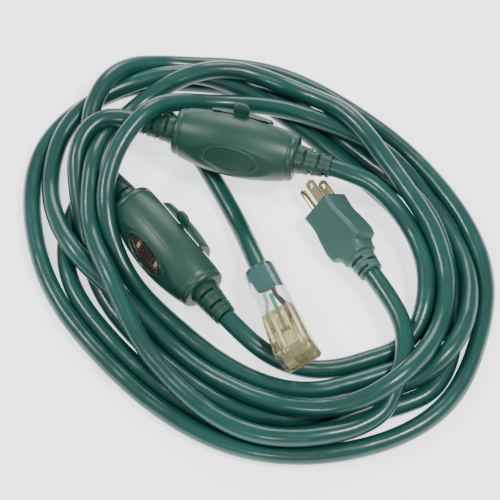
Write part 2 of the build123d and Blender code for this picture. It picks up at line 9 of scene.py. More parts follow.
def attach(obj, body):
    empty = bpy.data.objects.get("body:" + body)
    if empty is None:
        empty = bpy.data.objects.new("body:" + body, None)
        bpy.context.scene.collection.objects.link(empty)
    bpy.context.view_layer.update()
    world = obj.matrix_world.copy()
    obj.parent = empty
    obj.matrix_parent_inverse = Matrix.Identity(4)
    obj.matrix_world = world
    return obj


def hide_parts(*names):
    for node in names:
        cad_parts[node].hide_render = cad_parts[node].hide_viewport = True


bl_info = {
    "name": "Outdoor extension cord",
    "version": (1, 0, 0),
    "blender": (4, 5, 0),
    "location": "View3D > Sidebar > Extension Cord",
    "description": "Builds a coiled outdoor extension cord, its housings, plug and connector",
    "category": "Add Mesh",
}

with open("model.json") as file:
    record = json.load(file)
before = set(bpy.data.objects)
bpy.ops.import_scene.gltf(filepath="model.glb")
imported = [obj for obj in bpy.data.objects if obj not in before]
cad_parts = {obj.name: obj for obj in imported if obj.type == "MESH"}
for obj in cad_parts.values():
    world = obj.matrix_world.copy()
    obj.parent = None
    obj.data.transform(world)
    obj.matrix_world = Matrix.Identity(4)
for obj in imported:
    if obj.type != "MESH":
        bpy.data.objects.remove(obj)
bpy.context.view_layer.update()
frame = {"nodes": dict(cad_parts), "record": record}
MM = 0.001

# ------------------------------------------------------------------ places, in millimetres
UPPER_AT, UPPER_HEADING = (12.5, 49.8, 31.6), -15.7
LOWER_AT, LOWER_HEADING = (-31.5, -20.2, 21.0), -53.2
HOUSING_ROLL = -72.0
PLUG_AT, PLUG_HEADING, PLUG_ROLL = (69.6, 12.1, 16.6), -59.5, 139.0
CONN_AT, CONN_HEADING, CONN_RISE, CONN_ROLL = (28.4, -36.7, 17.2), -71.0, 11.0, 20.0

# ------------------------------------------------------------------ shapes, in millimetres
BODY_L, BODY_MID_R, BODY_END_R = 81.0, 21.0, 14.5
RIM_ROUND = 1.6
BEAD_FROM_END, BEAD_DEEP, BEAD_WIDTH = 4.2, 0.45, 0.9
SEAM_WIDTH = 0.35
OUTLET_FLAT, PANEL_FLAT, PANEL_TURN = 15.6, 18.0, 140.0
OVAL = (17.0, 8.5)
OVAL_LIP = 0.55
OVAL_SEATS = {"upper": 0.6, "lower": 3.0}
LENS_FRAMES = ((-9.0, 3.2), (0.0, 4.2), (9.0, 3.2))     # place along, half width
LENS_FRAME_HALF, LENS_FRAME_BAR, LENS_FRAME_THICK, LENS_FRAME_IN = 3.4, 0.35, 0.6, 1.7
OPENING, OPENING_DEEP = (15.5, 12.0, 3.0), 6.0
COVER = (20.0, 13.5, 4.0)
COVER_PROUD, COVER_SKIN, COVER_GAP = 0.9, 1.6, 0.35
HINGE_AT, HINGE_R = (13.9, 17.9), 1.9
KNUCKLE_HALF, LUG_SPAN = 8.0, (8.4, 12.4)
TAB, TAB_LEAN = (5.5, 4.9, 4.7, 2.2, 0.9), -38.0        # half sizes, corner, thickness, edge
BOOT_L, BOOT_R, BOOT_RIBS = 23.0, (9.6, 7.3), 4
GROOVE, GROOVE_EDGE = 1.9, 0.12
GROOVE_DEEP, WINDOW_DEEP = 0.3, 2.4
PLUG_L, PLUG_FACE, PLUG_REAR = 44.0, (10.5, 12.5), (9.0, 10.0)
PLUG_SHOULDER, PLUG_CORNER = 27.5, 2.4
GRIP_FLARE, GRIP_WAIST = 2.2, 0.8
GRIP_RISE, GRIP_END = (12.0, 33.0), (35.5, 37.0)
PLUG_BOOT_L, PLUG_BOOT_R, PLUG_BOOT_RIBS = 13.0, (9.2, 8.0), 3
GROUND_R, GROUND_L, GROUND_Z = 2.4, 20.6, 7.4
CONN_L, CONN_MOUTH, CONN_REAR = 72.0, 12.5, 9.8

# ------------------------------------------------------------------ the coil
# The turns follow an oval. A place on it is an hour, clockwise from the +X side, twelve to a
# turn, with a share of the oval's size in hundredths and a height in millimetres.
OVAL_CENTRE, OVAL_HALF, OVAL_TURN = (24.5, -16.7), (167.0, 139.0), -45.0
SINK, LEAN_BACK, STIFFNESS = 0.04, 0.05, 0.9
SUPPLY_FIRST_HOUR = 2
SUPPLY_SHARES = (
    (87, 89, 77, 68, 66, 73, 81, 84, 79, 73, 77, 80),
    (80, 72, 62, 62, 78, 93, 91, 79, 70, 68, 72, 77),
    (71, 60, 56, 55, 60, 64, 66, 71, 74, 79, 86, 88),
    (82, 76, 69, 68, 71, 80),
)
SUPPLY_HEIGHTS = (
    (14, 16, 20, 20, 20, 32, 26, 18, 20, 25, 22, 26),
    (26, 12, 7, 6, 12, 16, 10, 6, 6, 6, 6, 6),
    (6, 7, 7, 9, 22, 40, 39, 20, 14, 8, 12, 12),
    (6, 6, 6, 6, 9, 24),
)
END_FIRST_HOUR = -4
END_SHARES = (
    (95, 95, 90, 91, 95, 95, 94, 91, 86, 87, 92, 97),
    (92, 80, 72, 76, 82, 85, 84, 86, 82, 79, 81),
)
END_HEIGHTS = (
    (10, 6, 6, 6, 8, 7, 6, 6, 6, 6, 6, 6),
    (6, 6, 8, 14, 16, 8, 6, 6, 6, 6, 6),
)
# Where the cable isn't coiled, its route is close to the solid cable's own.
SUPPLY_LEAD = ((98.53, -37.01, 16.6), (106.1, -49.9, 16.8), (114, -63, 17.5), (118, -78, 18),
               (118.5, -93, 18), (114, -108, 17.5))
LINK_ROUTE = ((105.5, 19.5, 25), (118, 7, 18), (126.5, -8.5, 12.5), (132.5, -24.5, 10),
              (135, -42, 7), (135, -58, 6.2), (131, -76, 6.2), (119, -92, 6.2), (101, -101, 6.2),
              (82.5, -102.5, 6.2), (65.5, -102, 6.2), (49.5, -99.5, 6.8), (35.5, -95, 11),
              (24, -88.5, 17))
END_RISE = ((-87, 63, 21), (-83, 84, 25))
END_LEAD = ((-52.5, 95.5, 6.2), (-31.5, 82.5, 6.2), (-15.5, 63.5, 6.2), (-3.5, 41.5, 6.2),
            (6.5, 21.5, 6.2), (16.5, -0.5, 7), (23.3, -21.9, 14.1), (28.4, -36.7, 17.2))


# ================================================================== settings
class CordSettings(bpy.types.PropertyGroup):
    """Sizes and colours of the cable."""

    diameter: bpy.props.FloatProperty(
        name="Cable diameter", description="Outside of the round jacket", default=0.012,
        min=0.004, unit="LENGTH")
    spacing: bpy.props.FloatProperty(
        name="Point spacing", description="Between neighbouring points while the coil settles",
        default=0.007, min=0.004, unit="LENGTH")
    rounds: bpy.props.IntProperty(
        name="Settling rounds", description="How long the turns are let down on each other",
        default=500, min=50)
    jacket: bpy.props.FloatVectorProperty(
        name="Jacket", description="Colour of the cable's jacket", size=3, subtype="COLOR",
        default=(0.0045, 0.052, 0.043), min=0.0, max=1.0)


class HousingSettings(bpy.types.PropertyGroup):
    """Colours of the housings, the plug and the connector."""

    green: bpy.props.FloatVectorProperty(
        name="Housing", description="Moulded plastic of the outlet housings", size=3,
        subtype="COLOR", default=(0.005, 0.045, 0.031), min=0.0, max=1.0)
    plug: bpy.props.FloatVectorProperty(
        name="Plug", description="Moulded vinyl of the plug", size=3, subtype="COLOR",
        default=(0.035, 0.095, 0.08), min=0.0, max=1.0)
    clear: bpy.props.FloatVectorProperty(
        name="Connector", description="Tint of the clear connector", size=3, subtype="COLOR",
        default=(0.8, 0.79, 0.72), min=0.0, max=1.0)
    seam: bpy.props.FloatProperty(
        name="Seam depth", description="Depth of the joint between the two shells",
        default=0.00008, min=0.0, unit="LENGTH")


class StageSettings(bpy.types.PropertyGroup):
    """Camera, floor and light."""

    elevation: bpy.props.FloatProperty(
        name="Elevation", description="Camera's angle above the floor", default=radians(60.0),
        subtype="ANGLE")
    distance: bpy.props.FloatProperty(
        name="Distance", description="From the camera to the middle of the coil", default=1.5,
        min=0.3, unit="LENGTH")
    key: bpy.props.FloatProperty(
        name="Key light", description="Power of the main softbox", default=26.0, min=0.0,
        unit="POWER")
    floor: bpy.props.FloatVectorProperty(
        name="Floor", description="Colour of the floor", size=3, subtype="COLOR",
        default=(0.95, 0.95, 0.95), min=0.0, max=1.0)


# ------------------------------------------------------------------ the stage, in metres
VIEW_TARGET, VIEW_WIDTH, SENSOR_MM = (0.0215, -0.0107, 0.0), 0.3226, 36.0
FLOOR_HALF, FLOOR_DROP, FLOOR_GLOW = 6.0, 0.0002, 1.5
LIGHTS = (  # name, place, size, share of the key light's power
    ("key", (0.75, -0.35, 1.6), 0.3, 1.0), ("left", (-1.1, 0.2, 1.3), 0.25, 0.5),
    ("back", (0.1, 1.5, 1.0), 0.8, 0.6), ("front", (-0.3, -1.5, 1.2), 0.25, 0.3))
SKY, SKY_STRENGTH = (0.97, 0.99, 1.0), 0.6


# ================================================================== shader maths
class Val:
    """A shader socket with the arithmetic that this file uses."""

    def __init__(self, tree, socket):
        self.tree = tree
        self.socket = socket

    def _math(self, operation, *values):
        return self.tree.node("ShaderNodeMath", {"operation": operation}, dict(enumerate(values)))

    def __add__(self, other):
        return self._math("ADD", self, other)

    __radd__ = __add__

    def __sub__(self, other):
        return self._math("SUBTRACT", self, other)

    def __rsub__(self, other):
        return self._math("SUBTRACT", other, self)

    def __mul__(self, other):
        return self._math("MULTIPLY", self, other)

    __rmul__ = __mul__

    def above(self, low, high):
        """0 at low and 1 at high, smooth between."""
        settings = {"interpolation_type": "SMOOTHSTEP"}
        return self.tree.node("ShaderNodeMapRange", settings,
                              {"Value": self, "From Min": low, "From Max": high})


class Tree:
    """A material's nodes, made through one method."""

    def __init__(self, name):
        self.material = bpy.data.materials.new(name)
        self.material.use_nodes = True
        self.nodes = self.material.node_tree.nodes
        self.links = self.material.node_tree.links
        self.shader = self.nodes["Principled BSDF"]

    def put(self, socket, value):
        """Links a Val to a socket, or sets the socket's own value."""
        if isinstance(value, Val):
            self.links.new(value.socket, socket)
        else:
            socket.default_value = value

    def node(self, kind, settings=None, inputs=None, out=0):
        """Adds one node: its type, its settings, and its sockets' values or links."""
        new = self.nodes.new(kind)
        for key, value in (settings or {}).items():
            setattr(new, key, value)
        for key, value in (inputs or {}).items():
            self.put(new.inputs[key], value)
        return Val(self, new.outputs[out])

    def coords(self, which):
        return self.node("ShaderNodeTexCoord", out=which)

    def noise(self, vector, scale, detail=2.0, roughness=0.5):
        return self.node("ShaderNodeTexNoise", None, {
            "Vector": vector, "Scale": scale, "Detail": detail, "Roughness": roughness})

    def mix(self, factor, a, b):
        """Colour a where factor is 0 and b where it is 1."""
        new = self.nodes.new("ShaderNodeMix")
        new.data_type = "RGBA"
        self.put(new.inputs["Factor"], factor)
        self.put(new.inputs[6], a)
        self.put(new.inputs[7], b)
        return Val(self, new.outputs[2])

    def bump(self, height, strength, distance):
        return self.node("ShaderNodeBump", None, {
            "Height": height, "Strength": strength, "Distance": distance})

    def set(self, **inputs):
        """Values or links of the Principled shader's sockets; _ stands for a space."""
        for key, value in inputs.items():
            self.put(self.shader.inputs[key.replace("_", " ")], value)
        return self.material


def rgba(color, share=1.0):
    return (color[0] * share, color[1] * share, color[2] * share, 1.0)


def jacket_material(color):
    """Glossy vinyl, wavy over its twisted conductors, with faint handling marks."""
    t = Tree("jacket")
    at = t.coords("Object")
    lay = t.noise(at, 42.0, 1.0, 0.4)
    fine = t.noise(at, 420.0, 2.0, 0.5)
    height = lay * 1.0 + fine * 0.02
    shade = t.mix(t.noise(at, 22.0).above(0.35, 0.7), rgba(color, 0.85), rgba(color, 1.15))
    return t.set(Base_Color=shade, Roughness=0.27 + fine * 0.06, Specular_IOR_Level=0.4,
                 Coat_Weight=0.15, Coat_Roughness=0.1, Normal=t.bump(height, 0.75, 0.0026))


def satin_material(name, color, roughness, grain=0.00012):
    """Moulded plastic with a fine even grain and slight clouding."""
    t = Tree(name)
    at = t.coords("Object")
    cloud = t.noise(at, 30.0, 3.0)
    grit = t.noise(at, 2600.0, 2.0)
    shade = t.mix(cloud.above(0.3, 0.7), rgba(color, 0.9), rgba(color, 1.1))
    return t.set(Base_Color=shade, Roughness=roughness + (cloud - 0.5) * 0.12,
                 Specular_IOR_Level=0.5, Normal=t.bump(grit, 0.35, grain))


def metal_material(name, color, roughness):
    """Stamped metal with faint rolling marks."""
    t = Tree(name)
    marks = t.noise(t.coords("Object"), 900.0, 3.0)
    shade = t.mix(marks.above(0.3, 0.7), rgba(color, 0.92), rgba(color, 1.05))
    return t.set(Base_Color=shade, Metallic=1.0, Roughness=roughness + marks * 0.12)


def clear_material(name, color, transmission, roughness):
    """Moulded clear vinyl, a little cloudy."""
    t = Tree(name)
    haze = t.noise(t.coords("Object"), 160.0, 3.0)
    return t.set(Base_Color=t.mix(haze.above(0.3, 0.75), rgba(color), rgba(color, 0.88)),
                 Roughness=roughness + haze * 0.06, Transmission_Weight=transmission, IOR=1.36,
                 Normal=t.bump(haze, 0.12, 0.0004))


def lamp_material(color):
    t = Tree("amber_lamp")
    return t.set(Base_Color=rgba(color), Roughness=0.3, Emission_Color=rgba(color),
                 Emission_Strength=1.2)


FINISHES = {}


def materials():
    """Every slot's finish, made once."""
    if FINISHES:
        return FINISHES
    cord = bpy.context.scene.cord_settings
    housing = bpy.context.scene.housing_settings
    FINISHES.update({
        "cable_jacket": jacket_material(cord.jacket),
        "housing_green": satin_material("housing", housing.green, 0.4),
        "boot_green": satin_material("boot", housing.green, 0.38),
        "plug_green": satin_material("plug", housing.plug, 0.42),
        "brass": metal_material("brass_sheet", (0.86, 0.72, 0.42), 0.2),
        "steel": metal_material("zinc_plate", (0.7, 0.7, 0.72), 0.3),
        "wire_black": satin_material("black_wire", (0.02, 0.02, 0.02), 0.35),
        "wire_white": satin_material("white_wire", (0.8, 0.8, 0.76), 0.35),
        "wire_green": satin_material("green_wire", (0.0, 0.62, 0.56), 0.35),
        "insert_black": satin_material("black_insert", (0.02, 0.022, 0.02), 0.45),
        "pale_insert": clear_material("cream_insert", (0.93, 0.84, 0.52), 0.85, 0.15),
        "circuit_board": satin_material("board", (0.06, 0.06, 0.045), 0.5),
        "clear_plastic": clear_material("clear_vinyl", housing.clear, 0.96, 0.03),
        "window_frames": satin_material("frames", (0.7, 0.66, 0.52), 0.3),
        "jacket_inside": satin_material("covered_jacket", (0.004, 0.15, 0.17), 0.8),
        "smoky_lens": clear_material("smoky_plastic", (0.34, 0.3, 0.25), 0.92, 0.03),
        "lamp_amber": lamp_material((0.95, 0.85, 0.62)),
    })
    return FINISHES


# ================================================================== surfaces
def place(at, heading, rise, roll):
    """Frame whose X runs along a heading, rising, turned by roll about itself."""
    turn = (Matrix.Rotation(radians(heading), 4, "Z") @ Matrix.Rotation(radians(-rise), 4, "Y")
            @ Matrix.Rotation(radians(roll), 4, "X"))
    return np.array(Matrix.Translation(at) @ turn)


def moved(points, where):
    """Points in a piece's own frame, in millimetres, carried to the shared frame."""
    return points @ where[:3, :3].T + where[:3, 3]


def sheet_faces(rows, columns, start):
    """Quads of a grid that closes round its columns, with a fan at each end row."""
    r, c = np.meshgrid(np.arange(rows - 1), np.arange(columns), indexing="ij")
    n = (c + 1) % columns
    quads = np.stack([r * columns + c, r * columns + n, (r + 1) * columns + n,
                      (r + 1) * columns + c], -1)
    return quads.reshape(-1, 4) + start


def mesh_piece(name, grids, slot, body="root", sharp=35.0):
    """One object from closed surfaces. Each is a grid of rings, rows by columns by 3, whose
    first and last rings are shrunk to a point there, so that the surface closes."""
    verts, faces, start = [], [], 0
    for grid in grids:
        rows, columns = grid.shape[:2]
        middle = grid[1:-1].reshape(-1, 3)
        first, last = grid[0].mean(0), grid[-1].mean(0)
        points = np.vstack([first, middle, last])
        quads = sheet_faces(rows - 2, columns, start + 1)
        c = np.arange(columns)
        n = (c + 1) % columns
        cap = start + 1
        end = start + 1 + (rows - 3) * columns
        tip = start + len(points) - 1
        low = np.stack([np.full(columns, start), cap + n, cap + c], -1)
        high = np.stack([np.full(columns, tip), end + c, end + n], -1)
        tris = np.vstack([np.stack([quads[:, 0], quads[:, 1], quads[:, 2]], -1),
                          np.stack([quads[:, 0], quads[:, 2], quads[:, 3]], -1), low, high])
        local = tris - start
        a, b, d = points[local[:, 0]], points[local[:, 1]], points[local[:, 2]]
        if (np.cross(a, b) * d).sum() < 0:
            quads, low, high = quads[:, ::-1], low[:, ::-1], high[:, ::-1]
        verts.append(points)
        faces += quads.tolist() + low.tolist() + high.tolist()
        start += len(points)
    mesh = bpy.data.meshes.new(name)
    mesh.from_pydata((np.vstack(verts) * MM).tolist(), [], faces)
    mesh.polygons.foreach_set("use_smooth", np.ones(len(faces), bool))
    mesh.set_sharp_from_angle(angle=radians(sharp))
    mesh.materials.append(materials()[slot])
    piece = bpy.data.objects.new(name, mesh)
    bpy.context.scene.collection.objects.link(piece)
    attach(piece, body)
    return piece


def smooth_min(a, b, width):
    """The smaller of two surfaces, with a soft edge of a given width between them."""
    h = np.clip(0.5 + 0.5 * (b - a) / width, 0, 1)
    return b * (1 - h) + a * h - width * h * (1 - h)


def rise(x, low, high):
    """0 below low and 1 above high, smooth between."""
    t = np.clip((x - low) / (high - low), 0, 1)
    return t * t * (3 - 2 * t)


def rounded_outline(half_x, half_y, corner, count):
    """A rounded rectangle's outline: four quarter circles joined by straight sides, at even
    steps along its length."""
    sides = 12
    turn = np.linspace(0, np.pi / 2, sides)
    points = []
    for k, (sx, sy) in enumerate(((1, 1), (-1, 1), (-1, -1), (1, -1))):
        angle = turn + k * np.pi / 2
        points.append(np.stack([sx * (half_x - corner) + corner * np.cos(angle),
                                sy * (half_y - corner) + corner * np.sin(angle)], -1))
    loop = np.vstack(points + [points[0][:1]])
    length = np.r_[0, np.cumsum(np.linalg.norm(np.diff(loop, axis=0), axis=1))]
    at = np.linspace(0, length[-1], count, endpoint=False)
    return np.stack([np.interp(at, length, loop[:, 0]), np.interp(at, length, loop[:, 1])], -1)


def rounded_distance(x, y, half_x, half_y, corner):
    """Distance from a rounded rectangle's edge, negative inside."""
    dx = np.abs(x) - half_x + corner
    dy = np.abs(y) - half_y + corner
    outside = np.hypot(np.maximum(dx, 0), np.maximum(dy, 0))
    return outside + np.minimum(np.maximum(dx, dy), 0) - corner


def barrel_radius(x, proud=0.0):
    """The housing's radius: widest in the middle, falling with the square of the distance."""
    return BODY_MID_R + proud - (BODY_MID_R - BODY_END_R) * (x / (BODY_L / 2)) ** 2


def fine_steps(low, high, count, edges, width):
    """Even steps with extra ones close on both sides of each edge."""
    close = [edge + side * width * k for edge in edges for side in (-1, 1) for k in (0.02, 0.5, 1)]
    steps = np.concatenate([np.linspace(low, high, count), close])
    return np.unique(np.round(steps, 5))


def housing_surface(seam, oval_seat):
    """Barrel with two flats. At angle a round the axis the radius is the barrel's, or the
    flat's distance over the cosine of the angle from it where that is less. The rims are
    rounded, a bead runs round each end, and the outlet's opening and the panel's oval seat
    are pressed in."""
    half = BODY_L / 2
    edge_turn = np.degrees(np.arctan2(OPENING[1], OUTLET_FLAT))
    x = fine_steps(-half, half, 150, (-OPENING[0], OPENING[0]), 0.25)
    turn = fine_steps(-180, 180, 241, (-edge_turn, edge_turn), 0.7)[:-1]
    x_grid, a = np.meshgrid(x, np.radians(turn), indexing="ij")
    r = barrel_radius(x_grid)
    to_end = half - np.abs(x_grid)
    r = r - BEAD_DEEP * np.exp(-((to_end - BEAD_FROM_END) / BEAD_WIDTH) ** 2)
    for offset, at in ((OUTLET_FLAT, 0.0), (PANEL_FLAT, radians(PANEL_TURN))):
        lean = np.cos(a - at)
        flat = np.where(lean > 0.3, offset / np.maximum(lean, 0.3), 99.0)
        r = smooth_min(r, flat, 0.7)
    past = np.maximum(RIM_ROUND - to_end, 0)
    r = r - (RIM_ROUND - np.sqrt(np.maximum(RIM_ROUND ** 2 - past ** 2, 0)))
    for side in (-1, 1):
        off = (a - side * np.pi / 2) * r
        r = r - seam * np.exp(-(off / SEAM_WIDTH) ** 2)
    y, z = -r * np.sin(a), r * np.cos(a)
    depth = OPENING_DEEP * rise(-rounded_distance(x_grid, y, *OPENING), 0.0, 0.3) * (z > 4)
    z = z - depth
    # the oval on the panel: v runs across it, w along its normal
    c, s = np.cos(radians(PANEL_TURN)), np.sin(radians(PANEL_TURN))
    v, w = y * c + z * s, -y * s + z * c
    q = np.hypot(x_grid / OVAL[0], v / OVAL[1])
    lip = OVAL_LIP * rise(q, 0.98, 1.02) * (1 - rise(q, 1.07, 1.16))
    lift = (lip - oval_seat * (1 - rise(q, 0.94, 0.98))) * (w > 8)
    y, z = y - s * lift, z + c * lift
    rings = np.stack([x_grid, y, z], -1)
    inner = rings[[0, -1]] * np.array([1, 0.55, 0.55])
    return np.concatenate([inner[:1], inner[:1], rings, inner[1:], inner[1:]])


def oval_surface(dome, thick):
    """A thin oval plate: rings of the ellipse shrink to its middle above and below, with a
    low dome on top."""
    share = np.concatenate([np.linspace(0, 1, 8), [1.0], np.linspace(1, 0, 24)])
    turn = np.linspace(0, 2 * np.pi, 96, endpoint=False)
    height = np.concatenate([np.full(8, -thick), [-0.2], dome * (1 - np.linspace(1, 0, 24) ** 2)])
    shrink = np.concatenate([np.ones(8), [1.0], np.full(24, 0.985)])
    s, a = np.meshgrid(share * shrink, turn, indexing="ij")
    h = np.repeat(height[:, None], 96, 1)
    x, v = (OVAL[0] - 0.4) * s * np.cos(a), (OVAL[1] - 0.4) * s * np.sin(a)
    c, n = np.cos(radians(PANEL_TURN)), np.sin(radians(PANEL_TURN))
    w = PANEL_FLAT + h
    return np.stack([x, v * c - w * n, v * n + w * c], -1)


def lidded(outline, rows):
    """Rings of one outline: each row is (share of the outline, function of x and y that gives
    the height)."""
    rings = []
    for share, height in rows:
        x, y = outline[:, 0] * share, outline[:, 1] * share
        rings.append(np.stack([x, y, height(x, y)], -1))
    return np.stack(rings)


def cover_surface():
    """The flip cover: its top follows the barrel over a rounded rectangle, its edge is rounded
    over, and inside it is hollow by the skin's thickness."""
    outline = rounded_outline(*COVER, 160)
    low = OUTLET_FLAT + COVER_GAP

    def top(x, y):
        r = barrel_radius(x, COVER_PROUD)
        return np.sqrt(np.maximum(r * r - y * y, low * low))

    rows = [(s, top) for s in np.linspace(0, 0.93, 22)]
    for angle in np.linspace(0, np.pi / 2, 6):
        share = 0.93 + 0.07 * np.sin(angle)
        drop = 1.1 * (1 - np.cos(angle))
        rows.append((share, lambda x, y, d=drop: np.maximum(top(x, y) - d, low + 0.1)))
    rows.append((1.0, lambda x, y: np.full_like(x, low + 0.05)))
    inner = 1 - COVER_SKIN / COVER[1]
    rows.append((0.99, lambda x, y: np.full_like(x, low)))
    rows.append((inner + 0.01, lambda x, y: np.full_like(x, low)))
    rows.append((inner, lambda x, y: np.maximum(top(x, y) - COVER_SKIN, low + 0.1)))
    rows += [(s, lambda x, y: np.maximum(top(x, y) - COVER_SKIN, low + 0.1))
             for s in np.linspace(inner, 0, 10)[1:]]
    return lidded(outline, rows)


def pad_surface(half_x, half_y, corner, thick, edge, count=64):
    """A rounded rectangle's slab with rounded edges, its rings shrinking to the middle."""
    outline = rounded_outline(half_x, half_y, corner, count)
    small = min(half_x, half_y)
    rings = []
    for angle in np.linspace(-np.pi / 2, np.pi / 2, 11):
        inset = edge * (1 - np.cos(angle))
        z = (thick / 2 - edge) * np.sign(angle) + edge * np.sin(angle)
        rings.append(np.column_stack([outline * (1 - inset / small), np.full(count, z)]))
    first = rings[0] * np.array([0.001, 0.001, 1])
    last = rings[-1] * np.array([0.001, 0.001, 1])
    return np.stack([first] + rings + [last])


def lens_frame_bars():
    """Three small frames under the window, each of two long bars and two end bars."""
    bars = []
    for x, half in LENS_FRAMES:
        for v in (-half, half):
            bar = pad_surface(LENS_FRAME_HALF + 0.2, LENS_FRAME_BAR, 0.2, LENS_FRAME_THICK, 0.1, 24)
            bars.append(bar + (x, v, 0))
        for end in (-LENS_FRAME_HALF, LENS_FRAME_HALF):
            bar = pad_surface(LENS_FRAME_BAR, half, 0.2, LENS_FRAME_THICK, 0.1, 24)
            bars.append(bar + (x + end, 0, 0))
    return [turned(b + (0, 0, PANEL_FLAT - LENS_FRAME_IN), PANEL_TURN, 0, 0) for b in bars]


def turned(points, angle, about_y, about_z):
    """Points turned about a line along X."""
    c, s = np.cos(radians(angle)), np.sin(radians(angle))
    y, z = points[..., 1] - about_y, points[..., 2] - about_z
    return np.stack([points[..., 0], about_y + y * c - z * s, about_z + y * s + z * c], -1)


def lathe_surface(profile, count=64, y=0.0, z=0.0):
    """(x, radius) points turned about a line along X."""
    p = np.array(profile, float)
    a = np.linspace(0, 2 * np.pi, count, endpoint=False)
    return np.stack([np.repeat(p[:, :1], count, 1), y + p[:, 1:] * np.cos(a),
                     z + p[:, 1:] * np.sin(a)], -1)


def rod_surface(radius, x0, x1, y, z, edge=0.3, count=40):
    """A round bar along X with softened ends."""
    return lathe_surface([(x0, 0.001), (x0, radius - edge), (x0 + edge * 0.3, radius - edge * 0.3),
                          (x0 + edge, radius), (x1 - edge, radius),
                          (x1 - edge * 0.3, radius - edge * 0.3), (x1, radius - edge),
                          (x1, 0.001)], count, y, z)


def boot_surface(start, length, radii, ribs, collar_share=0.2):
    """Strain relief: a tapering sleeve with a collar, then ribs. The radius drops by a step in
    each groove, and by more in the windows, which sit on alternate sides of the sleeve."""
    r0, r1 = radii
    collar = length * collar_share
    pitch = (length - collar) / ribs
    walls = np.array([0, GROOVE_EDGE, GROOVE - GROOVE_EDGE, GROOVE])
    x = np.unique(np.round(np.concatenate([np.linspace(0, length, int(length * 5))]
                  + [collar + i * pitch + walls for i in range(ribs)]), 4))
    a = np.linspace(0, 2 * np.pi, 120, endpoint=False)
    x_grid, a_grid = np.meshgrid(x, a, indexing="ij")
    r = r0 + (r1 - r0) * x_grid / length
    for i in range(ribs):
        x0 = collar + i * pitch
        groove = rise(x_grid, x0, x0 + GROOVE_EDGE)
        groove = groove * (1 - rise(x_grid, x0 + GROOVE - GROOVE_EDGE, x0 + GROOVE))
        phase = np.pi / 2 * (i % 2)
        window = rise(np.cos(2 * (a_grid - phase)), 0.25, 0.35)
        r = r - groove * (GROOVE_DEEP + WINDOW_DEEP * window)
    tip = np.minimum(x_grid, length - x_grid)
    r = r - np.where(x_grid > length / 2, 0.6 * (1 - rise(tip, 0, 0.6)), 0.0)
    rings = np.stack([start + x_grid, r * np.cos(a_grid), r * np.sin(a_grid)], -1)
    first = rings[:1] * np.array([1, 0.4, 0.4])
    last = rings[-1:] * np.array([1, 0.6, 0.6])
    return np.concatenate([first, first, rings, last, last])


def tapered_box(stations, count=96):
    """A bar along X from (x, half width, half height, corner radius) stations, each a rounded
    rectangle."""
    rings = []
    for x, half_y, half_z, corner in stations:
        outline = rounded_outline(half_y, half_z, corner, count)
        rings.append(np.column_stack([np.full(count, x), outline]))
    rings = [rings[0] * np.array([1, 0.001, 0.001])] + rings + [rings[-1] * np.array([1, 0.001, 0.001])]
    return np.stack(rings)


def plug_stations():
    """Square-cornered front with hollow flanks that flare into two grips, then a taper to the
    cable end. Both changes of width follow a smooth step."""
    (fy, fz), (ry, rz) = PLUG_FACE, PLUG_REAR
    stations = [(x, fy - inset, fz - inset, PLUG_CORNER) for x, inset in
                ((0.0, 0.6), (0.2, 0.2), (0.6, 0.0))]
    for x in np.linspace(1.5, PLUG_L - 0.6, 60):
        flare = GRIP_FLARE * rise(x, *GRIP_RISE) - GRIP_WAIST * np.sin(np.pi * min(x / 18, 1))
        grip = 1 - rise(x, *GRIP_END)
        taper = rise(x, PLUG_SHOULDER, PLUG_L - 0.6)
        half_z = fz + (rz - fz) * taper
        stations.append((x, fy + (ry - fy) * taper, half_z + (fz + flare - half_z) * grip,
                         PLUG_CORNER + 3.0 * taper))
    stations.append((PLUG_L, ry - 0.6, rz - 0.6, 5.2))
    return stations


def connector_stations():
    """A square bar with rounded corners, widening evenly to its mouth."""
    stations = [(0.0, CONN_REAR - 0.8, CONN_REAR - 0.8, 6.0), (0.25, CONN_REAR - 0.25,
                CONN_REAR - 0.25, 6.5), (0.8, CONN_REAR, CONN_REAR, 6.8)]
    for t in np.linspace(0.02, 0.985, 24):
        half = CONN_REAR + (CONN_MOUTH - CONN_REAR) * t
        stations.append((CONN_L * t, half, half, 6.8 - 3.0 * t))
    stations += [(CONN_L - 0.3, CONN_MOUTH - 0.3, CONN_MOUTH - 0.3, 3.6),
                 (CONN_L, CONN_MOUTH - 1.0, CONN_MOUTH - 1.0, 3.0)]
    return stations


# ================================================================== the cable's line
def on_oval(first_hour, shares, heights):
    """Points of the turns: hour, share and height, worked out on the oval."""
    share = np.concatenate([np.array(row, float) for row in shares]) / 100
    height = np.concatenate([np.array(row, float) for row in heights])
    turn = -(first_hour + np.arange(len(share))) * np.pi / 6
    lean = turn - radians(OVAL_TURN)
    r = share / np.hypot(np.cos(lean) / OVAL_HALF[0], np.sin(lean) / OVAL_HALF[1])
    return np.stack([OVAL_CENTRE[0] + r * np.cos(turn), OVAL_CENTRE[1] + r * np.sin(turn),
                     height], -1)


def evenly(points, step):
    """A Catmull-Rom curve through the points, read off at even steps."""
    p = np.array(points, float)
    p = np.vstack([2 * p[0] - p[1], p, 2 * p[-1] - p[-2]])
    t = np.linspace(0, 1, 12, endpoint=False)[:, None, None]
    a, b, c, d = p[:-3], p[1:-2], p[2:-1], p[3:]
    curve = 0.5 * (2 * b + (c - a) * t + (2 * a - 5 * b + 4 * c - d) * t ** 2
                   + (3 * b - a - 3 * c + d) * t ** 3)
    line = np.vstack([curve.transpose(1, 0, 2).reshape(-1, 3), p[-2:-1]])
    length = np.r_[0, np.cumsum(np.linalg.norm(np.diff(line, axis=0), axis=1))]
    at = np.linspace(0, length[-1], max(int(round(length[-1] / step)), 4) + 1)
    return np.stack([np.interp(at, length, line[:, k]) for k in range(3)], -1)


